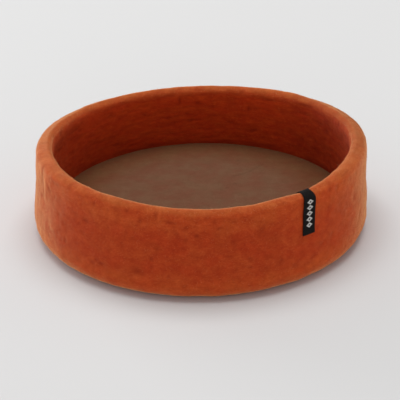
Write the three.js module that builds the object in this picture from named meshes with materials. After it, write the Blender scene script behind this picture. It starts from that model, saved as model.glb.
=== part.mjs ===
// Round felt dog bed: a thick bowl of rust-red felt with a low wall and a full, rolled rim,
// a loose brown felt mat lying in it, and a black woven tape label folded over the rim.
// Millimetres, +Z up, origin at the middle of the underside, front towards -Y.

import * as THREE from 'three';

// Driving dimensions
const HEIGHT = 129; // floor to the crest of the rim, on average
const BASE_RADIUS = 250; // widest point of the wall, just above the rounded lower corner
const RIM_RADIUS = 242; // outside of the rim, so the wall leans in a little
const RIM_THICKNESS = 20; // across the rolled rim
const WALL_FOOT_INSIDE = 224.8; // inside radius of the wall where the mat touches it
const FOOT_SHARE = 0.5; // share of the rim's lobes that the wall's foot follows inside
const LOWER_CORNER = 22; // radius of the rounded corner between underside and wall
const BOTTOM_THICKNESS = 18; // felt under the mat
const INNER_CORNER = 6; // radius between the wall's inside and the bottom
const GAP = 0.3; // air between pieces that lie on each other

const MAT_TOP = 27.6; // top face of the mat above the floor
const MAT_WALL_GAP = 1.2; // loose fit of the mat in the wall
const MAT_LOWER_EDGE = 6; // rounding of the mat's lower edge
const MAT_UPPER_EDGE = 3; // rounding of the mat's upper edge

const LABEL_AZIMUTH = -55.5; // degrees from +X, towards the front right
const LABEL_WIDTH = 20;
const LABEL_DROP = 53; // length of each flap below the crest
const LABEL_THICKNESS = 1;
const LABEL_GAP = 0.45; // air between tape and felt

// Rings on the mat's top: how far out each lies, as a share of the edge, and its rise
const MAT_RINGS = [
  { reach: 0.72, rise: -0.4 },
  { reach: 0.42, rise: 0.4 },
];

// Where the outside of the wall leaves its straight lean, all the way round:
// a waist under the rolled rim and a belly low down. `up`, `tall` and `size` are millimetres.
const SWELLS = [
  { up: 86, tall: 14, size: -0.8 },
  { up: 44, tall: 16, size: 0.8 },
];

// Fineness of the surfaces
const SEGMENTS = 96;
const CORNER_STEPS = 5;
const WALL_STEPS = 7;
const RIM_STEPS = 10;
const INSIDE_STEPS = 5;
const INNER_CORNER_STEPS = 3;
const MAT_EDGE_STEPS = 3;
const LABEL_WIDTH_STEPS = 3;
const LABEL_FLAP_STEPS = 4;

// Slow lobes around the bed. Each row swells by `size` towards the azimuth `towards`
// and shrinks as much in between, `lobes` times around.
const LOBES = {
  rimHeight: [
    { lobes: 2, size: 2.8, towards: 12 },
    { lobes: 3, size: 1.1, towards: -26 },
    { lobes: 4, size: 0.6, towards: -43 },
  ],
  rimRadius: [
    { lobes: 1, size: 4.3, towards: 45 },
    { lobes: 2, size: 0.7, towards: 62 },
    { lobes: 3, size: 1.1, towards: 35 },
    { lobes: 4, size: 0.7, towards: 6 },
  ],
  baseRadius: [
    { lobes: 2, size: 1.5, towards: 94 },
    { lobes: 3, size: 0.9, towards: 36 },
  ],
  matHeight: [
    { lobes: 2, size: 0.5, towards: 70 },
    { lobes: 3, size: 0.3, towards: 15 },
  ],
};

// Soft hand-made dents in the outside of the wall. `azimuth` and `width` are degrees,
// `up`, `tall` and `depth` millimetres; a negative depth is a swelling.
const DENTS = [
  { azimuth: 207, width: 4, up: 96, tall: 28, depth: 1.2 },
  { azimuth: 228, width: 9, up: 58, tall: 24, depth: -0.9 },
  { azimuth: 262, width: 10, up: 78, tall: 20, depth: 0.8 },
  { azimuth: 287, width: 8, up: 44, tall: 22, depth: -0.6 },
  { azimuth: 304.5, width: 5, up: 104, tall: 26, depth: 1 },
  { azimuth: 322, width: 7, up: 60, tall: 24, depth: -0.8 },
  { azimuth: 25, width: 10, up: 70, tall: 30, depth: -0.9 },
  { azimuth: 78, width: 9, up: 88, tall: 22, depth: 1 },
  { azimuth: 122, width: 11, up: 58, tall: 28, depth: -0.8 },
  { azimuth: 158, width: 8, up: 80, tall: 24, depth: 1.1 },
];

const radians = THREE.MathUtils.degToRad;
const lerp = THREE.MathUtils.lerp;

function lobeSum(rows, azimuth) {
  return rows.reduce(
    (sum, row) => sum + row.size * Math.cos(row.lobes * (azimuth - radians(row.towards))),
    0,
  );
}

function bell(distance, spread) {
  return Math.exp(-0.5 * (distance / spread) ** 2);
}

// Shortest turn in degrees from one azimuth to another
function turnBetween(azimuth, other) {
  return THREE.MathUtils.euclideanModulo(azimuth - other + 180, 360) - 180;
}

function dentDepth(azimuth, height) {
  const degrees = THREE.MathUtils.radToDeg(azimuth);
  return DENTS.reduce(
    (sum, dent) => sum
      + dent.depth * bell(turnBetween(degrees, dent.azimuth), dent.width) * bell(height - dent.up, dent.tall),
    0,
  );
}

// The sizes of the wall's section at one azimuth
function sectionAt(azimuth) {
  return {
    azimuth,
    rimCentre: HEIGHT + lobeSum(LOBES.rimHeight, azimuth) - RIM_THICKNESS / 2,
    rimRadius: RIM_RADIUS + lobeSum(LOBES.rimRadius, azimuth),
    baseRadius: BASE_RADIUS + lobeSum(LOBES.baseRadius, azimuth),
  };
}

function swellSize(height) {
  return SWELLS.reduce((sum, swell) => sum + swell.size * bell(height - swell.up, swell.tall), 0);
}

// Outside of the wall: a straight lean, with the swells and dents fading out at the rim
function outsideRadius(section, height) {
  const rise = (height - LOWER_CORNER) / (section.rimCentre - LOWER_CORNER);
  const lean = lerp(section.baseRadius, section.rimRadius, rise);
  const fade = THREE.MathUtils.smoothstep(section.rimCentre - height, 0, RIM_THICKNESS);
  return lean + fade * (swellSize(height) - dentDepth(section.azimuth, height));
}

// Inside of the wall: it leans out a little towards its foot
function insideRadius(section, height) {
  const rise = (height - MAT_TOP) / (section.rimCentre - MAT_TOP);
  const foot = WALL_FOOT_INSIDE + FOOT_SHARE * lobeSum(LOBES.rimRadius, section.azimuth);
  return lerp(foot, section.rimRadius - RIM_THICKNESS, rise);
}

// A quarter or half turn of points, as [radius, height] pairs
function arc(centreRadius, centreHeight, size, fromDegrees, toDegrees, steps) {
  return Array.from({ length: steps + 1 }, (_, i) => {
    const turn = radians(lerp(fromDegrees, toDegrees, i / steps));
    return [centreRadius + size * Math.cos(turn), centreHeight + size * Math.sin(turn)];
  });
}

// The outside of the wall from its rounded corner up to the rim
function outsideProfile(section) {
  const corner = arc(section.baseRadius - LOWER_CORNER, LOWER_CORNER, LOWER_CORNER, -90, 0, CORNER_STEPS);
  const wall = Array.from({ length: WALL_STEPS }, (_, i) => {
    const height = lerp(LOWER_CORNER, section.rimCentre, (i + 1) / WALL_STEPS);
    return [outsideRadius(section, height), height];
  });
  corner[CORNER_STEPS] = [outsideRadius(section, LOWER_CORNER), LOWER_CORNER];
  return [...corner, ...wall];
}

function rimProfile(section, offset) {
  const half = RIM_THICKNESS / 2;
  return arc(section.rimRadius - half, section.rimCentre, half + offset, 0, 180, RIM_STEPS);
}

// The inside of the wall from the rim down, and round the corner onto the bottom
function insideProfile(section) {
  const cornerTop = BOTTOM_THICKNESS + INNER_CORNER;
  const wall = Array.from({ length: INSIDE_STEPS }, (_, i) => {
    const height = lerp(section.rimCentre, cornerTop, (i + 1) / INSIDE_STEPS);
    return [insideRadius(section, height), height];
  });
  const foot = insideRadius(section, cornerTop);
  const corner = arc(foot - INNER_CORNER, cornerTop, INNER_CORNER, 0, -90, INNER_CORNER_STEPS);
  return [...wall, ...corner.slice(1)];
}

function shellProfile(azimuth) {
  const section = sectionAt(azimuth);
  return [...outsideProfile(section), ...rimProfile(section, 0).slice(1), ...insideProfile(section)];
}

function matProfile(azimuth) {
  const section = sectionAt(azimuth);
  const edge = insideRadius(section, MAT_TOP) - MAT_WALL_GAP;
  const under = BOTTOM_THICKNESS + GAP;
  const top = MAT_TOP + lobeSum(LOBES.matHeight, azimuth);
  const lower = arc(edge - MAT_LOWER_EDGE, under + MAT_LOWER_EDGE, MAT_LOWER_EDGE, -90, 0, MAT_EDGE_STEPS);
  const upper = arc(edge - MAT_UPPER_EDGE, top - MAT_UPPER_EDGE, MAT_UPPER_EDGE, 0, 90, MAT_EDGE_STEPS);
  const inner = MAT_RINGS.map((ring) => [edge * ring.reach, MAT_TOP + ring.rise]);
  return [...lower, ...upper, ...inner];
}

// A closed solid from a profile that changes with the azimuth: rings of points from the
// underside's middle, out, up and back to the axis, and one point at each end of the axis
function roundSolid(profileAt, bottomHeight, topHeight) {
  const profiles = Array.from({ length: SEGMENTS }, (_, i) => {
    const azimuth = (2 * Math.PI * i) / SEGMENTS;
    return profileAt(azimuth).map(([radius, height]) => [
      radius * Math.cos(azimuth),
      radius * Math.sin(azimuth),
      height,
    ]);
  });
  const rows = profiles[0].length;
  const points = [...profiles.flat(2), 0, 0, bottomHeight, 0, 0, topHeight];
  const bottomPole = SEGMENTS * rows;
  const topPole = bottomPole + 1;
  const faces = [];
  for (let i = 0; i < SEGMENTS; i += 1) {
    const here = i * rows;
    const next = ((i + 1) % SEGMENTS) * rows;
    faces.push(bottomPole, next, here);
    for (let j = 0; j < rows - 1; j += 1) {
      faces.push(here + j, next + j, next + j + 1);
      faces.push(here + j, next + j + 1, here + j + 1);
    }
    faces.push(here + rows - 1, next + rows - 1, topPole);
  }
  return indexedGeometry(points, faces);
}

function indexedGeometry(points, faces) {
  const geometry = new THREE.BufferGeometry();
  geometry.setAttribute('position', new THREE.Float32BufferAttribute(points, 3));
  geometry.setIndex(faces);
  geometry.computeVertexNormals();
  return geometry;
}

// One line of the tape's section: up the outside flap, over the rim and down the inside flap
function tapeLine(section, offset) {
  const flap = LABEL_DROP - RIM_THICKNESS / 2;
  const outside = Array.from({ length: LABEL_FLAP_STEPS }, (_, i) => {
    const height = section.rimCentre - flap * (1 - i / LABEL_FLAP_STEPS);
    return [outsideRadius(section, height) + offset, height];
  });
  const inside = Array.from({ length: LABEL_FLAP_STEPS }, (_, i) => {
    const height = section.rimCentre - flap * ((i + 1) / LABEL_FLAP_STEPS);
    return [insideRadius(section, height) - offset, height];
  });
  return [...outside, ...rimProfile(section, offset), ...inside];
}

function labelSolid() {
  const middle = radians(LABEL_AZIMUTH);
  const columns = Array.from({ length: LABEL_WIDTH_STEPS + 1 }, (_, i) => {
    const across = LABEL_WIDTH * (i / LABEL_WIDTH_STEPS - 0.5);
    const section = sectionAt(middle + across / RIM_RADIUS);
    const near = tapeLine(section, LABEL_GAP);
    const far = tapeLine(section, LABEL_GAP + LABEL_THICKNESS);
    return [...far, ...near.reverse()].map(([radius, height]) => [
      radius * Math.cos(middle) - across * Math.sin(middle),
      radius * Math.sin(middle) + across * Math.cos(middle),
      height,
    ]);
  });
  const around = columns[0].length;
  const faces = [];
  for (let i = 0; i < LABEL_WIDTH_STEPS; i += 1) {
    for (let j = 0; j < around; j += 1) {
      const here = i * around + j;
      const up = i * around + ((j + 1) % around);
      faces.push(here, here + around, up + around);
      faces.push(here, up + around, up);
    }
  }
  // The two long edges are strips between the tape's far and near lines
  const last = LABEL_WIDTH_STEPS * around;
  for (let j = 0; j < around / 2 - 1; j += 1) {
    const opposite = around - 1 - j;
    faces.push(j, j + 1, opposite - 1);
    faces.push(j, opposite - 1, opposite);
    faces.push(last + j, last + opposite - 1, last + j + 1);
    faces.push(last + j, last + opposite, last + opposite - 1);
  }
  return indexedGeometry(columns.flat(2), faces);
}

function piece(name, geometry, colour, roughness) {
  const material = new THREE.MeshStandardMaterial({ color: colour, roughness, metalness: 0 });
  const mesh = new THREE.Mesh(geometry, material);
  mesh.name = name;
  return mesh;
}

const bed = new THREE.Group();
bed.name = 'felt_dog_bed';
bed.add(piece('felt_shell', roundSolid(shellProfile, 0, BOTTOM_THICKNESS), 0x9a3d1e, 0.95));
bed.add(piece('base_mat', roundSolid(matProfile, BOTTOM_THICKNESS + GAP, MAT_TOP), 0x6e4a37, 0.95));
bed.add(piece('label_tape', labelSolid(), 0x16181c, 0.7));

export default bed;
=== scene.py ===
# Round felt dog bed: a rust felt bowl with a rolled rim, a brown felt mat and a tape label.
# Metres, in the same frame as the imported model: +Z up, front towards -Y.
import math
from collections import namedtuple

import bpy
import numpy as np
from mathutils import Matrix, Vector, noise
from mathutils.bvhtree import BVHTree


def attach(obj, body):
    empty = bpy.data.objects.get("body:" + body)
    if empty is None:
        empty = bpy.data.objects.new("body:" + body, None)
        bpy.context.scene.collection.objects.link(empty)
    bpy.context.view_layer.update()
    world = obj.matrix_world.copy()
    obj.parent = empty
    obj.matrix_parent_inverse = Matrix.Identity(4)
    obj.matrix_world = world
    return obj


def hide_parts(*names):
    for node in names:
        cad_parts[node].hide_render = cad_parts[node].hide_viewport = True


MM = 0.001
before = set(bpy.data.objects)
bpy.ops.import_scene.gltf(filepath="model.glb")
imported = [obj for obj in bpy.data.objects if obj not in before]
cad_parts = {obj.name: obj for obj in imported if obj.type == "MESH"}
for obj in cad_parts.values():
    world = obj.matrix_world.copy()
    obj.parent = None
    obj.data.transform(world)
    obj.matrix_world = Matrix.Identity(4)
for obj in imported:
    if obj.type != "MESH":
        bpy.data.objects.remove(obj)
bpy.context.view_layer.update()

# Camera: the photo's frame is 400 pixels wide
PHOTO_WIDTH_PX = 400
FOCAL_PX = 953.3
SENSOR_MM = 36
CAMERA_ELEVATION = 25.7
CAMERA_ROLL = 1.2
CAMERA_DISTANCE = 1446.7 * MM
CAMERA_AIM = Vector((-1.1, 1.7, 25.5)) * MM

# Grid of the bowl: its points lie where rays from the wall's core line leave the CAD shell
COLUMNS = 720
CORNER_ROWS = 13
OUTSIDE_ROWS = 46
RIM_ROWS = 17
INSIDE_ROWS = 42
CORE_FOOT = 24 * MM  # height of the lowest point of the core line
PROBE_HEIGHT = 100 * MM  # where the wall's thickness is measured
SMOOTH_COLUMNS = 7  # spread of the smoothing around the wall, in columns
SMOOTH_PASSES = 3
UNDERSIDE_SHARES = (0.2, 0.55, 0.9)  # rings under the bowl and the mat, as shares of the radius
BOTTOM_SHARES = (0.97, 0.6, 0.2)  # rings on the bowl's bottom, under the mat
BOTTOM_TOP = 18 * MM
WALL_RADIUS_MM = 240  # turns an azimuth into a length around the wall

# Where a name ends in TURN, BELOW, FACING or UPWARD, its two numbers are the range over which
# something grows from 0 to 1: of the cosine of the angle from a direction, of the depth below the
# crest, or of the part of the normal that points in or up.

# What the felt's crest and rim have beyond the CAD shell
FRONT_REST = 0.9 * MM  # how much lower the crest lies at the front
FRONT_REST_TURN = (0.5, 0.8)
REST_BELOW = (0, 20 * MM)
SIDE_SWELL = 4.6 * MM  # how much fuller the rim is inside, at the left and the right
SIDE_SWELL_TURN = (0.74, 1.0)
SIDE_SWELL_FACING = (0, 0.7)
SIDE_SWELL_BELOW = (12 * MM, 40 * MM)

# Relief of the felt, in layers of smooth noise: `height` and `size` in mm, `squash` times lower
# than wide, and a `shift` that makes each layer its own
Layer = namedtuple("Layer", "height size squash shift")
BOWL_LAYERS = [
    Layer(1.3, 75, 1.2, 3.1),
    Layer(0.6, 26, 1.5, 7.7),
    Layer(0.3, 11, 1.3, 1.9),
]
STREAKS = Layer(0.5, 26, 5.0, 4.4)  # level, on the inside
STREAK_TONE = 1.8  # how dark a streak 1 mm deep is: painted shade in its low part
RIPPLES = Layer(0.55, 17, 0.3, 2.7)  # upright, on the outside at the left
RIPPLE_TURN = (0.55, 0.9)
WALL_FOOT = (30 * MM, 46 * MM)  # heights over which the relief inside grows to all it has
WALL_FOOT_RELIEF = 0.3  # the most that it has beside the mat, in mm
CREVICE_START = (24 * MM, 28 * MM)  # heights over which the painted shade beside the mat grows
CREVICE_END = (29 * MM, 36 * MM)  # heights over which it fades
CREVICE_SHARE = 0.45  # how dark it is on average
CREVICE_BREAKS = Layer(0.8, 60, 0.2, 8.8)  # its height is how far that goes up and down
MAT_LAYERS = [
    Layer(0.6, 70, 1, 5.3),
    Layer(0.3, 20, 1, 2.2),
    Layer(0.15, 8, 1, 9.4),
]

# Marks in the felt, on the outside and the inside of the wall: azimuth in degrees, height `up`,
# half widths `around` and `tall` and depth in mm, and tilt in degrees. A negative depth is a bump.
Mark = namedtuple("Mark", "azimuth up around tall tilt depth")
OUTER_MARKS = [
    Mark(203.4, 116, 3.2, 15, -8, 0.75),
    Mark(204.6, 92, 3.0, 12, 5, 0.5),
    Mark(206.8, 108, 3.4, 18, -5, -0.45),
    Mark(211.2, 50.5, 2.4, 2.2, 0, 0.7),
    Mark(217.1, 79, 2.6, 3.0, 0, 0.5),
    Mark(220.6, 72.6, 3.2, 2.4, 20, 0.5),
    Mark(221.8, 50, 3.0, 3.0, 0, 0.45),
    Mark(230.0, 71, 2.2, 2.2, 0, 0.4),
    Mark(230.9, 89.5, 4.2, 2.6, -20, 0.6),
    Mark(234.3, 117, 2.2, 2.2, 0, 0.8),
    Mark(235.8, 41, 2.2, 2.0, 0, 0.7),
    Mark(242.5, 106, 2.4, 2.4, 0, -0.5),
    Mark(243.2, 72.6, 5.5, 2.0, 15, -0.5),
    Mark(246.6, 118.3, 3.0, 2.4, 25, 0.8),
    Mark(250.3, 38.6, 6.0, 4.5, 0, 0.5),
    Mark(251.1, 107.5, 2.6, 2.6, 0, 0.8),
    Mark(253.7, 98.2, 2.0, 2.0, 0, -0.6),
    Mark(254.7, 58.4, 2.0, 2.2, 0, 0.9),
    Mark(255.4, 70.5, 2.0, 1.8, 0, -0.6),
    Mark(256.5, 73, 2.2, 2.0, 0, 0.5),
    Mark(256.2, 116.5, 1.9, 5.5, 0, 0.6),
    Mark(257.2, 116, 1.9, 7.0, 0, -0.7),
    Mark(259.7, 53.2, 2.0, 2.0, 0, -0.5),
    Mark(260.6, 109.3, 6.5, 1.9, -6, 0.8),
    Mark(261.1, 37, 2.4, 2.0, 0, -0.7),
    Mark(260.2, 36.8, 1.8, 2.2, 0, 0.5),
    Mark(262.5, 94.5, 3.2, 2.2, 0, 0.45),
    Mark(264.8, 24.7, 2.4, 2.0, 20, 0.6),
    Mark(265.1, 85.9, 1.9, 1.9, 0, 0.8),
    Mark(265.3, 103.5, 3.4, 2.4, 0, 0.7),
    Mark(265.8, 54.6, 2.4, 2.2, 0, 0.4),
    Mark(268.6, 93, 2.6, 2.4, 0, 0.9),
    Mark(271.1, 45.8, 6.0, 1.8, 0, -0.4),
    Mark(271.2, 18.8, 2.0, 2.0, 0, 0.7),
    Mark(271.9, 117, 3.4, 3.0, 0, 0.5),
    Mark(274.0, 110.8, 3.2, 2.6, 0, 0.6),
    Mark(275.2, 101.8, 3.6, 1.9, 22, 0.7),
    Mark(278.0, 63.4, 4.0, 1.8, 0, 0.45),
    Mark(279.6, 82.4, 3.6, 2.8, 0, 0.5),
    Mark(279.9, 109.8, 4.5, 2.6, 0, 0.55),
    Mark(284.2, 58.5, 2.2, 2.0, 0, 0.6),
    Mark(288.3, 95, 3.0, 2.2, 0, 0.6),
    Mark(294.2, 48.3, 3.0, 3.4, 0, 0.4),
    Mark(299.3, 33.3, 3.4, 3.0, 0, 0.5),
    Mark(302.4, 60.5, 2.0, 8.0, 32, -0.5),
    Mark(303.0, 104, 3.0, 10, 0, 0.6),
    Mark(306.4, 38.6, 2.4, 2.4, 0, 0.4),
    Mark(310.2, 49.4, 3.0, 2.4, 0, 0.45),
    Mark(314.8, 119.5, 3.0, 3.4, 0, 0.5),
    Mark(315.1, 55.1, 2.2, 4.0, 0, 0.4),
    Mark(318.6, 117.5, 4.4, 3.4, 30, 0.6),
]
INNER_MARKS = [
    Mark(60.5, 31.5, 13, 1.8, -3, 1.2),
    Mark(78.5, 31.0, 10, 1.8, -4, 1.4),
    Mark(110.5, 31.0, 10, 1.8, 3, 1.1),
    Mark(34.6, 51.7, 5.0, 2.0, 10, 0.6),
    Mark(42.0, 60.6, 4.0, 2.2, 0, 0.6),
    Mark(43.7, 45.9, 4.5, 2.0, -10, 0.5),
    Mark(52.1, 109.8, 14, 2.0, -6, -0.5),
    Mark(58.4, 113.5, 14, 1.8, -6, 0.5),
    Mark(63.6, 108.5, 9.0, 2.2, -8, -0.5),
    Mark(66.3, 54.3, 5.0, 2.0, -24, 0.9),
    Mark(68.2, 93.8, 2.4, 5.0, 0, 0.8),
    Mark(81.2, 112.8, 4.0, 1.8, 0, -0.5),
    Mark(89.2, 106.0, 5.0, 1.8, 8, -0.6),
    Mark(89.9, 99.5, 6.5, 1.9, 10, 0.9),
    Mark(93.2, 69.8, 5.0, 2.0, -8, 0.8),
    Mark(95.2, 82.5, 4.0, 2.0, 0, 0.7),
    Mark(98.2, 106.5, 2.2, 6.5, 0, 0.8),
    Mark(98.9, 115.0, 4.0, 2.0, 0, -0.5),
    Mark(103.4, 76.2, 4.0, 2.4, 0, 0.5),
    Mark(114.2, 89.0, 6.0, 2.2, 14, 0.7),
]
MARK_CRISPNESS = 0.8  # 0.5 gives a plain bell curve, more gives a smaller mark
MARK_REACH = 4  # half widths beyond which a mark is left out
MARK_TONE = 1.3  # how dark a mark 1 mm deep is, from compressed fibres and painted shade; a bump is paler, a painted highlight
INNER_MARK_SHARE = 1.1  # how deep a mark inside is, for each mm in the table

# Small random marks, in mm and degrees. They are shallower between the two quiet azimuths, where
# the listed marks lie.
Scatter = namedtuple("Scatter", "count lowest highest longest quiet_from quiet_to")
OUTER_SCATTER = Scatter(420, 12, 124, 3.5, 240, 325)
INNER_SCATTER = Scatter(240, 34, 122, 6.0, 30, 150)
SCATTER_SIGNS = [1, 1, 1, -0.7]  # one in four is a bump
SCATTER_DEPTH = (0.25, 0.75)
SCATTER_QUIET = 0.45
SCATTER_SHORTEST = 1.6
SCATTER_TALL = (1.5, 2.4)
SCATTER_TILT = (-25, 25)
SCATTER_SEED = 7

# Stray wool fibres on the bowl: spikes with two rings of three points and a tip
FUZZ_COUNT = 19000
FUZZ_LENGTH = (2.5 * MM, 6.5 * MM)
FUZZ_LIFT = (0.2 * MM, 1.6 * MM)
FUZZ_RADIUS = 0.055 * MM
FUZZ_TAPER = 0.8  # radius of the second ring, as a share of the first
FUZZ_BEND = 0.3  # how far the tip bends sideways, as a share of the length
FUZZ_MIDDLE = (0.5, 0.4, 0.75)  # shares of the length, the bend and the lift at the second ring
FUZZ_ROOT = 2 * FUZZ_RADIUS  # how deep the first ring lies in the felt
FUZZ_LOWEST = 4 * FUZZ_RADIUS
FUZZ_ABOVE_MAT = 34 * MM
FUZZ_ABOVE_FLOOR = 3 * MM
FUZZ_BESIDE_TAPE = 15 * MM  # how far from the tape's middle the fibres start
FUZZ_BELOW_TAPE = 70 * MM  # height of the lower end of the tape's outer flap
FUZZ_SEED = 11
SPIKE_POINTS = 7
SPIKE_TURNS = (math.pi / 2, math.pi * 7 / 6, -math.pi / 6)

# Grid of the mat, and a faint crease and three specks in it, seen from above in mm from the axis
MAT_COLUMNS = 480
MAT_RINGS = 80
MAT_UNDER = 18.3 * MM
MAT_PROBE = 23 * MM  # a height inside the mat's felt
MAT_LOWER_EDGE = 5 * MM
MAT_UPPER_EDGE = 3 * MM
MAT_EDGE_ROWS = 5
MAT_SMOOTH_PASSES = 60
MAT_CREASE = [(57, 82), (78.6, 97.2), (101, 125)]
MAT_CREASE_DEPTH = 0.3
MAT_SPECKS = [(55, 53.5), (42, 39.5), (63, 143.4)]
MAT_SPECK_DEPTH = 0.5
MAT_MARK_WIDTH = 2 * MM
# How dark the crease and the specks are: painted shade in their dents
MAT_MARK_TONE = 1.2
# How much paler the mat's rounded upper edge is: a painted highlight
PAINTED_HIGHLIGHT_MAT_EDGE = 0.7

# Tape label
LABEL_AZIMUTH = math.radians(-55.5)
LABEL_WIDTH = 20 * MM
LABEL_FLAP = 42.8 * MM  # straight part of each flap, below the middle of the rim's roll
LABEL_ROLL = 10.5 * MM  # radius at which the tape goes over the rim
LABEL_SHIFT = 7.2 * MM  # how far to the right the tape crosses the crest
LABEL_LEAN = math.radians(7)  # its flaps hang this far off the upright
LABEL_PINCH = 0.24  # how far its right edge is drawn in on the rim, as a share of the width
LABEL_PINCH_LENGTH = 6 * MM
LABEL_DENT = 1.4 * MM  # how far it presses the rim down
LABEL_DENT_WIDTH = 13 * MM
LABEL_THICKNESS = 0.8 * MM
LABEL_CLEAR = 0.25 * MM
LABEL_COLUMNS = 28
LABEL_ROWS = 160
LABEL_BRIDGE_ROWS = 5  # how far the tape spans the felt's small hollows, in rows
LABEL_SMOOTH_PASSES = 8
LABEL_CURL = 1.0 * MM  # how far the free end of the outer flap stands off
LABEL_CURL_LENGTH = 9 * MM

# Row of plain woven diamonds on the outer flap, and the tape's weave, in mm
DIAMOND_START = 8.5  # from the flap's free end
DIAMOND_PITCH = 7.8
DIAMOND_COUNT = 5
DIAMOND_HALF_ACROSS = 5.4
DIAMOND_HALF_ALONG = 3.5
DIAMOND_HEART = 0.36  # share of each diamond, at its middle, that is black
DIAMOND_RISE = 2.0  # height of the pale threads, where a rib has 1
THREAD = 0.45
RIB_PITCH = 0.55
WARP_PITCH = 0.8
WARP_RISE = 0.5

# Colours, as linear light
Palette = namedtuple("Palette", "dark middle pale pit")
RUST = Palette(
    dark=(0.323, 0.0350, 0.0054),
    middle=(0.40, 0.052, 0.0090),
    pale=(0.487, 0.0760, 0.0154),
    pit=(0.23, 0.022, 0.0030),
)
BROWN = Palette(
    dark=(0.130, 0.0545, 0.0275),
    middle=(0.143, 0.0615, 0.0320),
    pale=(0.158, 0.0695, 0.0375),
    pit=(0.08, 0.033, 0.016),
)
HUE_RED = (1.0, 0.90, 0.90)  # wool of two near hues is felted together
HUE_ORANGE = (1.0, 1.10, 1.10)
FIBRE_DARK = (0.45, 0.085, 0.02)
FIBRE_PALE = (0.72, 0.25, 0.10)
TAPE_BLACK = (0.0062, 0.0050, 0.0046)
TAPE_WHITE = (0.50, 0.49, 0.47)
FLOOR_WHITE = (0.58, 0.58, 0.58)

# Factors of the felt's colour, which paint sheen, light and shade, and the ranges over which each
# of them grows
PAINTED_SHEEN_RIM = (0.93, 1.34, 1.60)  # painted sheen: the rim is paler
RIM_UPWARD = (0.1, 0.9)  # upward part of the normal
PAINTED_LIGHT_FOOT = (1.22, 1.48, 1.90)  # painted bounce light from the floor and painted sheen: the felt that rolls under at the foot is paler
FOOT_HEIGHT = (3 * MM, 22 * MM)
FOOT_FRONT = (-120 * MM, 80 * MM)  # distances towards the front over which it grows
FOOT_BACK_SHARE = 0.25  # how much of it is left at the back
PAINTED_SHADE_MIDDLE = (0.885, 0.71, 0.69)  # painted shade: the middle of the outside, which catches less sheen, is deeper
MIDDLE_HEIGHT = (22 * MM, 44 * MM)
MIDDLE_BELOW = (18 * MM, 42 * MM)
PAINTED_SHADE_RIGHT = (0.80, 0.78, 0.72)  # painted shade on the rim and the inside at the right
SHADE_AZIMUTH = math.radians(15)
SHADE_TURN = (0.72, 0.97)
PAINTED_WARM_LIGHT_RIGHT = (1.08, 1.05, 0.86)  # painted warm light: the outside at the right is a warmer red
FLANK_AZIMUTH = math.radians(-20)
FLANK_TURN = (0.6, 0.95)
PAINTED_SHADE_INSIDE = (0.95, 0.565, 0.24)  # painted shade: the felt inside is redder and deeper
INSIDE_BELOW = (3 * MM, 17 * MM)
INSIDE_FACING = (0, 0.6)
PAINTED_SHADE_MAT_EDGE = (0.83, 0.70, 0.49)  # painted shade: the mat is a deeper brown towards its edge by the wall
MAT_EDGE_RADIUS = (120 * MM, 205 * MM)

# The three felts: `squash` flattens the mottle, `pits` is how much the small pits show, and
# `sheen` and `fuzz` are the strength and the colour of the pale nap
Felt = namedtuple("Felt", "name palette squash pits sheen fuzz")
RUST_FELT = Felt("rust_felt", RUST, 1.45, 0.32, 0.78, (1.0, 0.63, 0.28))
# The inside's felt has a flatter mottle and more pits; its weaker, redder sheen is painted shade on
# the inner wall
INSIDE_FELT = Felt("rust_felt_inside", RUST, 2.6, 0.6, 0.18, (1.0, 0.35, 0.12))
BROWN_FELT = Felt("brown_felt", BROWN, 1.0, 0.12, 0.12, (1.0, 0.7, 0.5))
INSIDE_FELT_LINE = 0.1  # where the inside's felt starts, from 0 on the rim to 1 well inside
INSIDE_FELT_WAVES = Layer(0.06, 9, 1, 6.6)

# Noise textures of the felt, with their scale in lumps for each metre
Grain = namedtuple("Grain", "scale detail roughness distortion")
MOTTLE = Grain(80, 6, 0.68, 0)
SPECKS = Grain(420, 4, 0.65, 0)
FIBRES = Grain(700, 3, 0.7, 2.5)
PATCHES_OF_PITS = Grain(45, 2, 0.5, 0)
PATCHES_OF_HUE = Grain(32, 3, 0.55, 0)
MOTTLE_SHARE = 0.56  # the rest of the mottle is specks
PALETTE_STOPS = (0.36, 0.5, 0.65)
HUE_STOPS = (0.38, 0.62)
PIT_SCALE = 165
PIT_EDGE = (0.10, 0.26)
PIT_PATCH_EDGE = (0.48, 0.62)
TONE_TO_PIT = -0.7
TONE_TO_PALE = 0.6
FELT_BUMP = (0.45, 0.7 * MM)  # strength and height
TAPE_BUMP = (0.6, 0.12 * MM)

# Studio lights: place, aim and size in metres, power in watts
Light = namedtuple("Light", "name place aim size power colour")
WHITE_LIGHT = (1, 1, 1)
WARM_LIGHT = (1, 0.80, 0.66)
LIGHTS = [
    Light("top_softbox", (0, 1.4, 7.8), (0, 0, 0), (6.4, 4.8), 488, WHITE_LIGHT),
    Light("left_panel", (-9.6, 0, 1.41), (0, 0, 0.2), (10.4, 2.8), 224, WHITE_LIGHT),
    Light("right_panel", (9.6, 0, 1.41), (0, 0, 0.2), (10.4, 2.8), 168, WARM_LIGHT),
    Light("front_fill", (0, -13.6, 2.2), (0, 0, 0), (10.4, 3.2), 343, WHITE_LIGHT),
    Light("left_rim", (-9.2, 9.2, 1.8), (0, 0, 0.2), (8.0, 3.2), 1200, WHITE_LIGHT),
    Light("right_rim", (9.2, 9.2, 1.8), (0, 0, 0.2), (8.0, 3.2), 12, WARM_LIGHT),
]
WORLD_STRENGTH = 0.457
FLOOR_REACH = 60


def outward(azimuth):
    return Vector((math.cos(azimuth), math.sin(azimuth), 0))


def tree_of(mesh):
    points = [v.co.copy() for v in mesh.vertices]
    return BVHTree.FromPolygons(points, [tuple(p.vertices) for p in mesh.polygons])


def ray_length(tree, start, direction):
    return tree.ray_cast(start, direction)[3]


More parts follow.
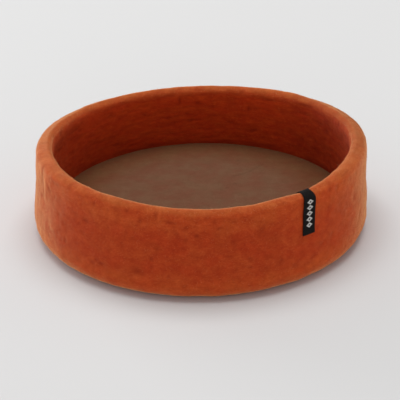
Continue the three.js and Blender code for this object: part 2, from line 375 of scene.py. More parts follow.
def azimuth_of(grid):
    return np.arctan2(grid[..., 1], grid[..., 0])


def below_crest(grid):
    """How far each point lies below the highest of its column."""
    return grid[..., 2].max(axis=1, keepdims=True) - grid[..., 2]


def ease(values, low, high):
    """0 below low, 1 above high and a soft step between."""
    share = np.clip((values - low) / (high - low), 0, 1)
    return share * share * (3 - 2 * share)


def bell(values, width):
    """1 at 0 and a soft fall on both sides."""
    return np.exp(-0.5 * (values / width) ** 2)


def smooth_around(values, spread):
    """Blurs along the first axis, which closes on itself."""
    reach = int(3 * spread)
    offsets = np.arange(-reach, reach + 1)
    weights = bell(offsets, spread)
    weights /= weights.sum()
    return sum(w * np.roll(values, int(o), axis=0) for w, o in zip(weights, offsets))


def smooth_along(values, passes):
    """Blurs along the second axis, whose ends stay."""
    for _ in range(passes):
        inner = (values[:, :-2] + 2 * values[:, 1:-1] + values[:, 2:]) / 4
        values = np.concatenate([values[:, :1], inner, values[:, -1:]], axis=1)
    return values


def turned_grid(radius, height):
    """Points from radii and heights, with the columns spread evenly around the axis."""
    turn = 2 * np.pi * np.arange(len(radius))[:, None] / len(radius)
    return np.stack([radius * np.cos(turn), radius * np.sin(turn), height], axis=-1)


def section_rays(rim_height):
    """Starting height, outward part and upward part of each ray from the wall's core line."""
    rays = []
    for i in range(CORNER_ROWS):
        turn = math.radians(-90 + 90 * i / CORNER_ROWS)
        rays.append((CORE_FOOT, math.cos(turn), math.sin(turn)))
    for i in range(OUTSIDE_ROWS):
        rays.append((CORE_FOOT + (rim_height - CORE_FOOT) * i / OUTSIDE_ROWS, 1, 0))
    for i in range(RIM_ROWS):
        turn = math.pi * i / (RIM_ROWS - 1)
        rays.append((rim_height, math.cos(turn), math.sin(turn)))
    for i in range(INSIDE_ROWS):
        rays.append((rim_height + (CORE_FOOT - rim_height) * (i + 1) / INSIDE_ROWS, -1, 0))
    return rays


def core_of_wall(tree, azimuth):
    """Radius of the middle of the wall, and the height of the middle of the rim's roll."""
    out = outward(azimuth)
    up = Vector((0, 0, 1))
    inner = ray_length(tree, up * PROBE_HEIGHT, out)
    wall = ray_length(tree, out * (inner + MM) + up * PROBE_HEIGHT, out) + MM
    core = inner + wall / 2
    crest = 1 - ray_length(tree, out * core + up, -up)
    return core, crest - wall / 2


def shell_grid(tree):
    """Points of the felt's surface on the CAD shell, columns around by rows along the section."""
    rays, lengths = [], []
    for c in range(COLUMNS):
        azimuth = 2 * math.pi * c / COLUMNS
        out = outward(azimuth)
        core, rim_height = core_of_wall(tree, azimuth)
        column = [(core, *ray) for ray in section_rays(rim_height)]
        rays.append(column)
        lengths.append([
            ray_length(tree, out * r + Vector((0, 0, h)), out * across + Vector((0, 0, up)))
            for r, h, across, up in column
        ])
    rays = smooth_around(np.array(rays), SMOOTH_COLUMNS)
    lengths = smooth_along(smooth_around(np.array(lengths), SMOOTH_COLUMNS), SMOOTH_PASSES)
    radius = rays[:, :, 0] + rays[:, :, 2] * lengths
    return turned_grid(radius, rays[:, :, 1] + rays[:, :, 3] * lengths)


def grid_normals(grid):
    around = np.roll(grid, -1, axis=0) - np.roll(grid, 1, axis=0)
    along = np.gradient(grid, axis=1)
    normals = np.cross(around, along)
    return normals / np.linalg.norm(normals, axis=-1, keepdims=True)


def facing_out(grid, normals):
    """1 where the felt faces away from the axis, -1 where it faces the axis."""
    turn = azimuth_of(grid)
    return normals[..., 0] * np.cos(turn) + normals[..., 1] * np.sin(turn)


def noise_height(points, layer):
    """Height of one layer of the relief at each point, in mm."""
    scale = np.array([1, 1, layer.squash]) / (layer.size * MM)
    flat = (points.reshape(-1, 3) * scale + layer.shift).tolist()
    return layer.height * np.array([noise.noise(p) for p in flat]).reshape(points.shape[:-1])


def noise_heights(points, layers):
    return sum(noise_height(points, layer) for layer in layers)


def scattered_marks(scatter, random):
    marks = []
    for _ in range(scatter.count):
        azimuth = random.uniform(0, 360)
        depth = random.choice(SCATTER_SIGNS) * random.uniform(*SCATTER_DEPTH)
        if scatter.quiet_from < azimuth < scatter.quiet_to:
            depth *= SCATTER_QUIET
        up = random.uniform(scatter.lowest, scatter.highest)
        around = random.uniform(SCATTER_SHORTEST, scatter.longest)
        tall = random.uniform(*SCATTER_TALL)
        tilt = random.uniform(*SCATTER_TILT)
        marks.append(Mark(azimuth, up, around, tall, tilt, depth))
    return marks


def mark_depth(grid, marks):
    """How deep the marks are at each point of the grid, in mm."""
    azimuth = np.degrees(azimuth_of(grid))
    up = grid[..., 2] / MM
    depth = np.zeros(azimuth.shape)
    for mark in marks:
        turn = (azimuth - mark.azimuth + 180) % 360 - 180
        reach = MARK_REACH * max(mark.around, mark.tall)
        near = np.abs(np.radians(turn[:, 0]) * WALL_RADIUS_MM) < reach
        along = np.radians(turn[near]) * WALL_RADIUS_MM
        rise = up[near] - mark.up
        tilt = math.radians(mark.tilt)
        length = (along * math.cos(tilt) + rise * math.sin(tilt)) / mark.around
        height = (rise * math.cos(tilt) - along * math.sin(tilt)) / mark.tall
        depth[near] += mark.depth * np.exp(-MARK_CRISPNESS * (length ** 2 + height ** 2))
    return depth


def marks_of_wall(grid, outside, inside):
    """How deep all marks are, in mm: the listed ones and the random ones."""
    random = np.random.RandomState(SCATTER_SEED)
    outer = OUTER_MARKS + scattered_marks(OUTER_SCATTER, random)
    inner = INNER_MARKS + scattered_marks(INNER_SCATTER, random)
    depth = mark_depth(grid, outer) * outside
    return depth + INNER_MARK_SHARE * mark_depth(grid, inner) * inside


def rest_of_rim(grid):
    """How much lower the crest lies at the front, and under the tape."""
    azimuth = azimuth_of(grid)
    near_crest = 1 - ease(below_crest(grid), *REST_BELOW)
    front = FRONT_REST * ease(-np.sin(azimuth), *FRONT_REST_TURN)
    across = (azimuth - LABEL_AZIMUTH) * WALL_RADIUS_MM * MM - LABEL_SHIFT
    return near_crest * (front + LABEL_DENT * bell(across, LABEL_DENT_WIDTH))


def swell_of_rim(grid, facing):
    """How much fuller the rim is on its inner side, in metres."""
    upper = 1 - ease(below_crest(grid), *SIDE_SWELL_BELOW)
    sideways = ease(np.abs(np.cos(azimuth_of(grid))), *SIDE_SWELL_TURN)
    return SIDE_SWELL * sideways * ease(-facing, *SIDE_SWELL_FACING) * upper


def crevice_painted_shade(grid, facing):
    """How dark the painted shade is along the line where the wall meets the mat. It comes and goes
    around the bowl.
    """
    line = ease(grid[..., 2], *CREVICE_START) - ease(grid[..., 2], *CREVICE_END)
    broken = np.clip(CREVICE_SHARE + noise_height(grid, CREVICE_BREAKS), 0, 1)
    return line * broken * (facing < 0)


def shell_relief(grid):
    """Height of the felt's relief in metres, and its tone: -1 in a pit, 1 on a bump. The tone is
    partly painted shade and highlight.
    """
    facing = facing_out(grid, grid_normals(grid))
    outside, inside = np.clip(facing, 0, 1), np.clip(-facing, 0, 1)
    marks = marks_of_wall(grid, outside, inside)
    streaks = noise_height(grid, STREAKS) * inside
    ripples = noise_height(grid, RIPPLES) * ease(-np.cos(azimuth_of(grid)), *RIPPLE_TURN)
    relief = noise_heights(grid, BOWL_LAYERS) - marks + streaks + ripples * outside
    relief += (swell_of_rim(grid, facing) - rest_of_rim(grid)) / MM
    foot = (1 - ease(grid[..., 2], *WALL_FOOT)) * (facing < 0)
    relief = relief * (1 - foot) + np.clip(relief, -WALL_FOOT_RELIEF, WALL_FOOT_RELIEF) * foot
    tone = -MARK_TONE * marks + STREAK_TONE * np.minimum(streaks, 0) - crevice_painted_shade(grid, facing)
    return relief * MM, np.clip(tone, -1, 1)


def blended(share, tint):
    """A factor of the colour that goes from 1 to the tint as share goes from 0 to 1."""
    return 1 + share[..., None] * (np.array(tint) - 1)


def shell_tint(grid):
    """Factors of the bowl's colour at each point, which paint sheen, light and shade, and how far
    inside it is, from 0 to 1.
    """
    normals = grid_normals(grid)
    facing = facing_out(grid, normals)
    height, below, azimuth = grid[..., 2], below_crest(grid), azimuth_of(grid)
    rim = ease(normals[..., 2], *RIM_UPWARD)
    inside = ease(below, *INSIDE_BELOW) * ease(-facing, *INSIDE_FACING)
    front = FOOT_BACK_SHARE + (1 - FOOT_BACK_SHARE) * ease(-grid[..., 1], *FOOT_FRONT)
    foot = (1 - ease(height, *FOOT_HEIGHT)) * (facing > 0) * front
    middle = ease(height, *MIDDLE_HEIGHT) * ease(below, *MIDDLE_BELOW) * np.clip(facing, 0, 1)
    outside = np.clip(facing, 0, 1) * (1 - rim)
    shade = ease(np.cos(azimuth - SHADE_AZIMUTH), *SHADE_TURN) * (1 - outside)
    flank = ease(np.cos(azimuth - FLANK_AZIMUTH), *FLANK_TURN) * outside
    tint = blended(rim, PAINTED_SHEEN_RIM) * blended(foot, PAINTED_LIGHT_FOOT)
    tint *= blended(shade, PAINTED_SHADE_RIGHT) * blended(flank, PAINTED_WARM_LIGHT_RIGHT)
    return tint * blended(middle, PAINTED_SHADE_MIDDLE) * blended(inside, PAINTED_SHADE_INSIDE), inside


def mesh_piece(name, points, faces, material):
    mesh = bpy.data.meshes.new(name)
    mesh.from_pydata(points, [], faces)
    mesh.polygons.foreach_set("use_smooth", [True] * len(mesh.polygons))
    mesh.materials.append(material)
    piece = bpy.data.objects.new(name, mesh)
    bpy.context.scene.collection.objects.link(piece)
    return piece


def keep_number(piece, name, numbers):
    """Stores a number for each point, for the material."""
    layer = piece.data.attributes.new(name, "FLOAT", "POINT")
    layer.data.foreach_set("value", numbers.astype(np.float32))


def keep_vector(piece, name, vectors):
    """Stores three numbers for each point, for the material."""
    layer = piece.data.attributes.new(name, "FLOAT_VECTOR", "POINT")
    layer.data.foreach_set("vector", vectors.astype(np.float32).reshape(-1))


def closed_rings(rings, first_pole, last_pole):
    """Points and faces of rings of points around the axis, closed by a pole at each end."""
    count, rows = rings.shape[:2]
    points = np.concatenate([rings.reshape(-1, 3), [first_pole, last_pole]]).tolist()
    faces = []
    for c in range(count):
        here, after = c * rows, (c + 1) % count * rows
        faces.append((count * rows, after, here))
        faces += [(here + r, after + r, after + r + 1, here + r + 1) for r in range(rows - 1)]
        faces.append((here + rows - 1, after + rows - 1, count * rows + 1))
    return points, faces


def shrunk_rings(ring, shares, height):
    """The ring drawn in towards the axis, once for each share, at one height."""
    out = []
    for share in shares:
        smaller = ring * share
        smaller[:, 2] = height
        out.append(smaller)
    return np.stack(out, axis=1)


def padded_tone(tone, before, after):
    """The tone of all rings and both poles, 0 on the rings that have no relief."""
    rows = np.pad(tone, ((0, 0), (before, after)))
    return np.concatenate([rows.reshape(-1), [0, 0]])


def padded_tint(tint, before, after):
    """The tint of all rings and both poles: the rings without relief take their neighbour's."""
    rows = np.pad(tint, ((0, 0), (before, after), (0, 0)), mode="edge")
    poles = np.stack([rows[0, 0], rows[0, -1]])
    return np.concatenate([rows.reshape(-1, 3), poles])


def shaded_felt_inside(piece, grid, inside, material):
    """Gives the inside its own felt, whose weaker and redder sheen paints shade, up to a wavy line
    under the rim.
    """
    line = INSIDE_FELT_LINE + noise_height(grid, INSIDE_FELT_WAVES)
    in_shaded_felt = (inside > line).astype(np.int32)
    rows = np.pad(in_shaded_felt, ((0, 0), (len(UNDERSIDE_SHARES) + 1, len(BOTTOM_SHARES))))
    rows[:, -len(BOTTOM_SHARES):] = 1
    piece.data.materials.append(material)
    piece.data.polygons.foreach_set("material_index", rows.reshape(-1))


def build_shell(material, inside_material):
    tree = tree_of(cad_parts["felt_shell"].data)
    grid = shell_grid(tree)
    # The tint paints sheen, light and shade on the felt
    tint, inside = shell_tint(grid)
    relief, tone = shell_relief(grid)
    grid = grid + grid_normals(grid) * relief[..., None]
    grid[:, 0, 2] = 0
    underside = shrunk_rings(grid[:, 0], UNDERSIDE_SHARES, 0)
    bottom = shrunk_rings(grid[:, -1], BOTTOM_SHARES, BOTTOM_TOP)
    rings = np.concatenate([underside, grid, bottom], axis=1)
    points, faces = closed_rings(rings, (0, 0, 0), (0, 0, BOTTOM_TOP))
    piece = mesh_piece("felt_bowl", points, faces, material)
    keep_number(piece, "tone", padded_tone(tone, len(UNDERSIDE_SHARES), len(BOTTOM_SHARES)))
    keep_vector(piece, "tint", padded_tint(tint, len(UNDERSIDE_SHARES), len(BOTTOM_SHARES)))
    shaded_felt_inside(piece, grid, inside, inside_material)
    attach(piece, "root")
    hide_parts("felt_shell")
    return piece, grid, tint


def free_to_stray(points, normals):
    """Which points are clear of the floor and the mat, and not beside or under the tape."""
    inside = points[:, 0] * normals[:, 0] + points[:, 1] * normals[:, 1] < 0
    clear = points[:, 2] > np.where(inside, FUZZ_ABOVE_MAT, FUZZ_ABOVE_FLOOR)
    middle = outward(LABEL_AZIMUTH + LABEL_SHIFT / 2 / (WALL_RADIUS_MM * MM))
    across = np.abs(points[:, 1] * middle.x - points[:, 0] * middle.y)
    by_tape = (across < FUZZ_BESIDE_TAPE) & (points[:, :2] @ np.array(middle[:2]) > 0)
    return clear & ~(by_tape & (points[:, 2] > FUZZ_BELOW_TAPE))


def fuzz_roots(grid, tint, random):
    """Random roots of stray fibres: points, normals, directions to lie in and the felt's tint."""
    columns = random.randint(0, grid.shape[0], FUZZ_COUNT)
    rows = random.randint(0, grid.shape[1] - 1, FUZZ_COUNT)
    share_around = random.uniform(0, 1, (FUZZ_COUNT, 1))
    share_along = random.uniform(0, 1, (FUZZ_COUNT, 1))
    here, beside = grid[columns, rows], grid[(columns + 1) % COLUMNS, rows]
    points = here + share_around * (beside - here) + share_along * (grid[columns, rows + 1] - here)
    normals = grid_normals(grid)[columns, rows]
    tangents = np.cross(normals, random.normal(size=(FUZZ_COUNT, 3)))
    tangents /= np.linalg.norm(tangents, axis=1, keepdims=True)
    kept = free_to_stray(points, normals)
    return points[kept], normals[kept], tangents[kept], tint[columns, rows][kept]


def spike_points(points, normals, tangents, random):
    """Thin curved spikes that lie on the felt and lift their tips a little."""
    count = len(points)
    length = random.uniform(*FUZZ_LENGTH, (count, 1))
    lift = random.uniform(*FUZZ_LIFT, (count, 1)) ** 2 / FUZZ_LIFT[1]
    side = np.cross(normals, tangents)
    bend = side * random.normal(0, FUZZ_BEND, (count, 1))
    ahead, sideways, up = FUZZ_MIDDLE
    middle = points + (tangents * ahead + bend * sideways) * length + normals * lift * up
    tip = points + (tangents + bend) * length + normals * lift
    for ends in (middle, tip):
        ends[:, 2] = np.maximum(ends[:, 2], FUZZ_LOWEST)
    root = points - normals * FUZZ_ROOT
    spokes = [math.cos(turn) * side + math.sin(turn) * normals for turn in SPIKE_TURNS]
    first = [root + spoke * FUZZ_RADIUS for spoke in spokes]
    second = [middle + spoke * FUZZ_RADIUS * FUZZ_TAPER for spoke in spokes]
    return np.stack(first + second + [tip], axis=1)


def spike_faces(count):
    pattern = [(2, 1, 0)]
    pattern += [(i, (i + 1) % 3, (i + 1) % 3 + 3, i + 3) for i in range(3)]
    pattern += [(i + 3, (i + 1) % 3 + 3, 6) for i in range(3)]
    return [tuple(SPIKE_POINTS * k + i for i in face) for k in range(count) for face in pattern]


def build_fuzz(grid, tint, material):
    random = np.random.RandomState(FUZZ_SEED)
    points, normals, tangents, tint = fuzz_roots(grid, tint, random)
    spikes = spike_points(points, normals, tangents, random).reshape(-1, 3).tolist()
    piece = mesh_piece("wool_fuzz", spikes, spike_faces(len(points)), material)
    keep_number(piece, "tone", np.repeat(random.uniform(0, 1, len(points)), SPIKE_POINTS))
    keep_vector(piece, "tint", np.repeat(tint, SPIKE_POINTS, axis=0))
    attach(piece, "root")
    return piece


def mat_outline(tree):
    """Radius of the mat's edge, and the height of its top at rings that go inward."""
    shares = np.linspace(1, 0, MAT_RINGS, endpoint=False)
    probe, up = Vector((0, 0, MAT_PROBE)), Vector((0, 0, 1))
    outline, tops = [], []
    for c in range(MAT_COLUMNS):
        out = outward(2 * math.pi * c / MAT_COLUMNS)
        radius = ray_length(tree, probe, out)
        outline.append(radius)
        places = [out * (radius - MAT_UPPER_EDGE - MM) * share + probe for share in shares]
        tops.append([MAT_PROBE + ray_length(tree, place, up) for place in places])
    tops = smooth_along(smooth_around(np.array(tops), SMOOTH_COLUMNS), MAT_SMOOTH_PASSES)
    return smooth_around(np.array(outline), SMOOTH_COLUMNS), tops, shares


def mat_grid(tree):
    """Points of the mat from its underside round the edge and over the top to the middle."""
    outline, tops, shares = mat_outline(tree)
    edge = outline[:, None]
    turns = np.linspace(0, math.pi / 2, MAT_EDGE_ROWS, endpoint=False)
    radius = np.concatenate([
        edge - MAT_LOWER_EDGE * (1 - np.sin(turns)),
        edge - MAT_UPPER_EDGE * (1 - np.cos(turns)),
        (edge - MAT_UPPER_EDGE) * shares,
    ], axis=1)
    height = np.concatenate([
        np.tile(MAT_UNDER + MAT_LOWER_EDGE * (1 - np.cos(turns)), (MAT_COLUMNS, 1)),
        tops[:, :1] - MAT_UPPER_EDGE * (1 - np.sin(turns)),
        tops,
    ], axis=1)
    return turned_grid(radius, height)


def line_distance(grid, start, end):
    """Distance of each point from a line on the mat, seen from above."""
    start, end = np.array(start) * MM, np.array(end) * MM
    along = end - start
    share = np.clip(((grid[..., :2] - start) @ along) / (along @ along), 0, 1)
    return np.linalg.norm(grid[..., :2] - start - share[..., None] * along, axis=-1)


def mat_relief(grid):
    """Height of the mat's relief in metres, and its tone."""
    marks = np.zeros(grid.shape[:-1])
    for start, end in zip(MAT_CREASE, MAT_CREASE[1:]):
        crease = bell(line_distance(grid, start, end), MAT_MARK_WIDTH)
        marks = np.maximum(marks, MAT_CREASE_DEPTH * crease)
    for speck in MAT_SPECKS:
        gap = np.linalg.norm(grid[..., :2] - np.array(speck) * MM, axis=-1)
        marks += MAT_SPECK_DEPTH * bell(gap, MAT_MARK_WIDTH)
    return (noise_heights(grid, MAT_LAYERS) - marks) * MM, -MAT_MARK_TONE * marks


def mat_painted_shade(grid):
    # Painted shade: the mat is deeper towards its edge by the wall
    return blended(ease(np.linalg.norm(grid[..., :2], axis=-1), *MAT_EDGE_RADIUS), PAINTED_SHADE_MAT_EDGE)


def build_mat(material):
    tree = tree_of(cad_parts["base_mat"].data)
    grid = mat_grid(tree)
    relief, tone = mat_relief(grid)
    rows = np.arange(grid.shape[1])
    grid[..., 2] += relief * (rows >= MAT_EDGE_ROWS)
    under = shrunk_rings(grid[:, 0], UNDERSIDE_SHARES, MAT_UNDER)
    rings = np.concatenate([under, grid], axis=1)
    middle_top = float(grid[:, -1, 2].mean())
    points, faces = closed_rings(rings, (0, 0, MAT_UNDER), (0, 0, middle_top))
    piece = mesh_piece("felt_mat", points, faces, material)
    upper_edge = (rows >= MAT_EDGE_ROWS) & (rows <= 2 * MAT_EDGE_ROWS)
    # Paints a highlight on the mat's rounded upper edge
    tone = np.clip(tone + PAINTED_HIGHLIGHT_MAT_EDGE * upper_edge, -1, 1)
    keep_number(piece, "tone", padded_tone(tone, len(UNDERSIDE_SHARES), 0))
    keep_vector(piece, "tint", padded_tint(mat_painted_shade(grid), len(UNDERSIDE_SHARES), 0))
    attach(piece, "root")
    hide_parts("base_mat")
    return piece


def tape_ray(path, rim_height):
    """Starting height, outward part and upward part of the ray to a point of the tape,
    given by its length along the tape from the crest."""
    straight = abs(path) - LABEL_ROLL * math.pi / 2
    if straight > 0:
        return rim_height - straight, math.copysign(1, -path), 0
    turn = math.pi / 2 + path / LABEL_ROLL
    return rim_height, math.cos(turn), math.sin(turn)


def bridged(lengths):
    """The tape spans small hollows: it follows the highest felt nearby, smoothed."""
    padded = np.pad(lengths, ((0, 0), (LABEL_BRIDGE_ROWS, LABEL_BRIDGE_ROWS)), mode="edge")
    count = lengths.shape[1]
    shifts = range(2 * LABEL_BRIDGE_ROWS + 1)
    highest = np.max([padded[:, k:k + count] for k in shifts], axis=0)
    return smooth_along((highest.max(axis=0) + highest) / 2, LABEL_SMOOTH_PASSES)


def tape_starts(core_point, side, heights, paths):
    """Where the rays to the tape start: columns across by rows along."""
    leans = LABEL_SHIFT + paths * math.tan(LABEL_LEAN)
    pinches = LABEL_PINCH * bell(paths, LABEL_PINCH_LENGTH)
    columns = []
    for t in np.linspace(-0.5, 0.5, LABEL_COLUMNS + 1):
        offsets = leans + (t - (t + 0.5) * pinches) * LABEL_WIDTH
        columns.append([
            core_point + side * offset + Vector((0, 0, height))
            for height, offset in zip(heights, offsets)
        ])
    return columns


def label_lines(tree):
    """Points of the tape's underside and outside, columns across by rows from the outer end."""
    out = outward(LABEL_AZIMUTH)
    core, rim_height = core_of_wall(tree, LABEL_AZIMUTH)
    half = LABEL_FLAP + LABEL_ROLL * math.pi / 2
    paths = np.linspace(-half, half, LABEL_ROWS + 1)
    rays = [tape_ray(path, rim_height) for path in paths]
    starts = tape_starts(out * core, Vector((-out.y, out.x, 0)), [ray[0] for ray in rays], paths)
    ways = [out * outwards + Vector((0, 0, up)) for _, outwards, up in rays]
    lengths = [[ray_length(tree, p, way) for p, way in zip(column, ways)] for column in starts]
    lengths = bridged(np.array(lengths)) + LABEL_CLEAR
    lengths += LABEL_CURL * (1 - ease(paths + half, 0, LABEL_CURL_LENGTH))
    starts, ways = np.array(starts), np.array(ways)
    near = starts + ways * lengths[..., None]
    far = starts + ways * (lengths + LABEL_THICKNESS)[..., None]
    return near, far


def strip_faces(columns, rows):
    """Faces of a closed strip whose columns run along its outside and back underneath."""
    around = 2 * rows
    last = (columns - 1) * around
    faces = []
    for here in range(0, last, around):
        after = here + around
        for r in range(around):
            ahead = (r + 1) % around
            faces.append((here + r, after + r, after + ahead, here + ahead))
    for r in range(rows - 1):
        opposite = around - 1 - r
        faces.append((r, r + 1, opposite - 1, opposite))
        faces.append((last + r, last + opposite, last + opposite - 1, last + r + 1))
    return faces


def tape_places(far):
    """Place of each point on the tape in mm: across from its middle, along from its outer end."""
    columns, rows = far.shape[:2]
    steps = np.linalg.norm(np.diff(far[columns // 2], axis=0), axis=-1)
    along = np.concatenate([[0], np.cumsum(steps)])
    places = np.zeros((columns, 2 * rows, 3))
    places[..., 0] = np.linspace(-0.5, 0.5, columns)[:, None] * LABEL_WIDTH
    places[..., 1] = np.concatenate([along, along[::-1]])
    return places / MM


def build_label(shell, material):
    near, far = label_lines(tree_of(shell.data))
    loops = np.concatenate([far, near[:, ::-1]], axis=1)
    faces = strip_faces(*far.shape[:2])
    piece = mesh_piece("tape_label", loops.reshape(-1, 3).tolist(), faces, material)
    keep_vector(piece, "tape_place", tape_places(far))
    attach(piece, "root")
    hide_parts("label_tape")
    return piece


def new_material(name):
    material = bpy.data.materials.new(name)
    material.use_nodes = True
    return material, material.node_tree, material.node_tree.nodes["Principled BSDF"]


def wire(tree, socket, value):
    """Links a socket to the socket it takes its value from, or sets a fixed value."""
    if isinstance(value, bpy.types.NodeSocket):
        tree.links.new(value, socket)
    else:
        socket.default_value = value


def add_node(tree, kind, inputs, output=0, **settings):
    """Makes a node, sets its inputs by name or number, and gives back one of its outputs."""
    made = tree.nodes.new(kind)
    for key, value in settings.items():
        setattr(made, key, value)
    for key, value in inputs.items():
        wire(tree, made.inputs[key], value)
    return made.outputs[output]


def math_node(tree, operation, first, second=0.0):
    return add_node(tree, "ShaderNodeMath", {0: first, 1: second}, operation=operation)


def kept_values(tree, name, output):
    """What is stored at the points of the piece, as `Fac` for numbers or `Vector` for vectors."""
    return add_node(tree, "ShaderNodeAttribute", {}, output=output, attribute_name=name)


def noise_node(tree, place, grain):
    inputs = {
        "Vector": place,
        "Scale": grain.scale,
        "Detail": grain.detail,
        "Roughness": grain.roughness,
        "Distortion": grain.distortion,
    }
    return add_node(tree, "ShaderNodeTexNoise", inputs)


def range_node(tree, value, edge, first, last):
    """Goes from first to last as the value crosses the edge, a pair of numbers."""
    inputs = {0: value, 1: edge[0], 2: edge[1], 3: first, 4: last}
    return add_node(tree, "ShaderNodeMapRange", inputs)


def mix_colours(tree, share, first, second, blend="MIX"):
    inputs = {0: share, 6: first, 7: second}
    settings = {"data_type": "RGBA", "blend_type": blend}
    return add_node(tree, "ShaderNodeMix", inputs, output=2, **settings)


def bump_node(tree, height, strength, distance):
    inputs = {"Height": height, "Strength": strength, "Distance": distance}
    return add_node(tree, "ShaderNodeBump", inputs, output="Normal")


def tinted(tree, colour):
    """The colour times the piece's own tint, which paints sheen, light and shade."""
    return mix_colours(tree, 1.0, colour, kept_values(tree, "tint", "Vector"), "MULTIPLY")


def colour_ramp(tree, value, stops):
    made = tree.nodes.new("ShaderNodeValToRGB")
    wire(tree, made.inputs["Fac"], value)
    elements = made.color_ramp.elements
    elements[0].position, elements[0].color = stops[0][0], (*stops[0][1], 1)
    elements[1].position, elements[1].color = stops[-1][0], (*stops[-1][1], 1)
    for position, colour in stops[1:-1]:
        elements.new(position).color = (*colour, 1)
    return made.outputs["Color"]


def simple_material(name, colour, roughness):
    material, _, shader = new_material(name)
    shader.inputs["Base Color"].default_value = (*colour, 1)
    shader.inputs["Roughness"].default_value = roughness
    return material


def felt_pits(tree, place, share):
    """Sparse small dark pits, in patches."""
    inputs = {"Vector": place, "Scale": PIT_SCALE}
    spots = add_node(tree, "ShaderNodeTexVoronoi", inputs, output="Distance")
    spots = range_node(tree, spots, PIT_EDGE, 1.0, 0.0)
    patches = range_node(tree, noise_node(tree, place, PATCHES_OF_PITS), PIT_PATCH_EDGE, 0.0, share)
    return math_node(tree, "MULTIPLY", spots, patches)


def hue_patches(tree, place):
    """Soft patches of two near hues, as factors of the colour."""
    patches = noise_node(tree, place, PATCHES_OF_HUE)
    return colour_ramp(tree, patches, list(zip(HUE_STOPS, (HUE_RED, HUE_ORANGE))))


def felt_mottle(tree, place, palette, specks):
    """Soft mottle with finer specks in it, in three near colours and two near hues."""
    mottle = math_node(tree, "MULTIPLY", noise_node(tree, place, MOTTLE), MOTTLE_SHARE)
    finer = math_node(tree, "MULTIPLY", specks, 1 - MOTTLE_SHARE)
    colours = (palette.dark, palette.middle, palette.pale)
    blend = math_node(tree, "ADD", mottle, finer)
    colour = colour_ramp(tree, blend, list(zip(PALETTE_STOPS, colours)))
    return mix_colours(tree, 1.0, colour, hue_patches(tree, place), "MULTIPLY")


def felt_colour(tree, place, felt, specks):
    """The mottle, darker in pits and paler on bumps, partly as painted shade and highlight, times
    the piece's tint.
    """
    colour = felt_mottle(tree, place, felt.palette, specks)
    tone = kept_values(tree, "tone", "Fac")
    marked = math_node(tree, "MULTIPLY", tone, TONE_TO_PIT)
    pit = math_node(tree, "MAXIMUM", marked, felt_pits(tree, place, felt.pits))
    raised = math_node(tree, "MAXIMUM", math_node(tree, "MULTIPLY", tone, TONE_TO_PALE), 0.0)
    colour = mix_colours(tree, pit, colour, (*felt.palette.pit, 1))
    colour = mix_colours(tree, raised, colour, (*felt.palette.pale, 1))
    return tinted(tree, colour)


def felt_material(felt):
    """Felted wool, with matted fibres in the bump and pale nap at grazing angles."""
    material, tree, shader = new_material(felt.name)
    place = add_node(tree, "ShaderNodeTexCoord", {}, output="Object")
    inputs = {"Vector": place, "Scale": (1, 1, felt.squash)}
    place = add_node(tree, "ShaderNodeMapping", inputs)
    specks = noise_node(tree, place, SPECKS)
    surface = math_node(tree, "ADD", specks, noise_node(tree, place, FIBRES))
    wire(tree, shader.inputs["Base Color"], felt_colour(tree, place, felt, specks))
    wire(tree, shader.inputs["Normal"], bump_node(tree, surface, *FELT_BUMP))
    shader.inputs["Roughness"].default_value = 0.95
    shader.inputs["Specular IOR Level"].default_value = 0.15
    shader.inputs["Sheen Weight"].default_value = felt.sheen
    shader.inputs["Sheen Roughness"].default_value = 0.3
    shader.inputs["Sheen Tint"].default_value = (*felt.fuzz, 1)
    return material


def fuzz_material():
    """Single wool fibres, paler than the felt and each a little different."""
    material, tree, shader = new_material("rust_wool_fibres")
    tone = kept_values(tree, "tone", "Fac")
    colour = colour_ramp(tree, tone, [(0.0, FIBRE_DARK), (1.0, FIBRE_PALE)])
    wire(tree, shader.inputs["Base Color"], tinted(tree, colour))
    shader.inputs["Roughness"].default_value = 0.7
    shader.inputs["Specular IOR Level"].default_value = 0.2
    return material


def diamond_row(tree, across, along):
    """1 on the pale threads of a row of hollow diamonds, 0 elsewhere."""
    across = math_node(tree, "ABSOLUTE", math_node(tree, "SNAP", across, THREAD))
    along = math_node(tree, "SUBTRACT", along, DIAMOND_START)
    along = math_node(tree, "SNAP", along, THREAD)
    local = math_node(tree, "MODULO", along, DIAMOND_PITCH)
    from_middle = math_node(tree, "SUBTRACT", local, DIAMOND_PITCH / 2)
    from_middle = math_node(tree, "ABSOLUTE", from_middle)
    sideways = math_node(tree, "DIVIDE", across, DIAMOND_HALF_ACROSS)
    lengthways = math_node(tree, "DIVIDE", from_middle, DIAMOND_HALF_ALONG)
    reach = math_node(tree, "ADD", sideways, lengthways)
    inside = math_node(tree, "LESS_THAN", reach, 1.0)
    hollow = math_node(tree, "GREATER_THAN", reach, DIAMOND_HEART)
    after_start = math_node(tree, "GREATER_THAN", along, 0.0)
    before_end = math_node(tree, "LESS_THAN", along, DIAMOND_PITCH * DIAMOND_COUNT)
    ring = math_node(tree, "MULTIPLY", inside, hollow)
    return math_node(tree, "MULTIPLY", ring, math_node(tree, "MULTIPLY", after_start, before_end))


def wave_node(tree, length, pitch):
    return math_node(tree, "SINE", math_node(tree, "MULTIPLY", length, 2 * math.pi / pitch))


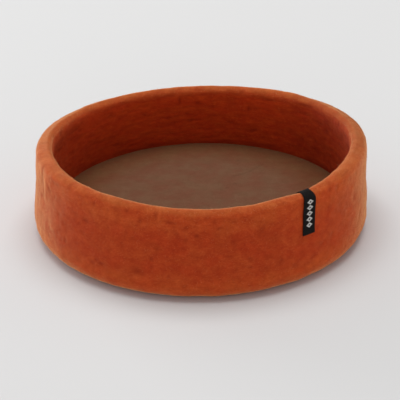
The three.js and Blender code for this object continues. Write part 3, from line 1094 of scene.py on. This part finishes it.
def tape_material():
    """Black woven tape with ribs across it and a row of pale diamonds."""
    material, tree, shader = new_material("black_woven_tape")
    parts = tree.nodes.new("ShaderNodeSeparateXYZ")
    wire(tree, parts.inputs[0], kept_values(tree, "tape_place", "Vector"))
    across, along = parts.outputs["X"], parts.outputs["Y"]
    white = diamond_row(tree, across, along)
    warp = math_node(tree, "MULTIPLY", wave_node(tree, across, WARP_PITCH), WARP_RISE)
    weave = math_node(tree, "ADD", wave_node(tree, along, RIB_PITCH), warp)
    height = math_node(tree, "ADD", weave, math_node(tree, "MULTIPLY", white, DIAMOND_RISE))
    colour = mix_colours(tree, white, (*TAPE_BLACK, 1), (*TAPE_WHITE, 1))
    wire(tree, shader.inputs["Base Color"], colour)
    wire(tree, shader.inputs["Normal"], bump_node(tree, height, *TAPE_BUMP))
    shader.inputs["Roughness"].default_value = 0.75
    shader.inputs["Specular IOR Level"].default_value = 0.09
    return material


def place_camera():
    data = bpy.data.cameras.new("camera")
    data.sensor_width = SENSOR_MM
    data.lens = SENSOR_MM * FOCAL_PX / PHOTO_WIDTH_PX
    camera = bpy.data.objects.new("camera", data)
    bpy.context.scene.collection.objects.link(camera)
    tilt = math.radians(CAMERA_ELEVATION)
    roll = math.radians(CAMERA_ROLL)
    back = Vector((0, -math.cos(tilt), math.sin(tilt)))
    level_right = Vector((1, 0, 0))
    level_up = back.cross(level_right)
    right = level_right * math.cos(roll) - level_up * math.sin(roll)
    up = level_right * math.sin(roll) + level_up * math.cos(roll)
    turned = Matrix((right, up, back)).transposed().to_4x4()
    camera.matrix_world = Matrix.Translation(CAMERA_AIM + back * CAMERA_DISTANCE) @ turned
    bpy.context.scene.camera = camera


def light_studio():
    for light in LIGHTS:
        data = bpy.data.lights.new(light.name, "AREA")
        data.shape = "RECTANGLE"
        data.size, data.size_y = light.size
        data.energy = light.power
        data.color = light.colour
        lamp = bpy.data.objects.new(light.name, data)
        bpy.context.scene.collection.objects.link(lamp)
        lamp.location = light.place
        view = Vector(light.aim) - Vector(light.place)
        lamp.rotation_euler = view.to_track_quat("-Z", "Y").to_euler()


def light_world():
    world = bpy.data.worlds.new("studio")
    world.use_nodes = True
    background = world.node_tree.nodes["Background"]
    background.inputs["Color"].default_value = (*WHITE_LIGHT, 1)
    background.inputs["Strength"].default_value = WORLD_STRENGTH
    bpy.context.scene.world = world


def lay_floor():
    near, far = -FLOOR_REACH, FLOOR_REACH
    corners = [(near, near, 0), (far, near, 0), (far, far, 0), (near, far, 0)]
    paint = simple_material("floor_paint", FLOOR_WHITE, 0.9)
    floor = mesh_piece("studio_floor", corners, [(0, 1, 2, 3)], paint)


bpy.context.scene.view_settings.view_transform = "Standard"
bowl, bowl_grid, bowl_tint = build_shell(felt_material(RUST_FELT), felt_material(INSIDE_FELT))
build_fuzz(bowl_grid, bowl_tint, fuzz_material())
build_mat(felt_material(BROWN_FELT))
build_label(bowl, tape_material())
place_camera()
light_studio()
light_world()
lay_floor()
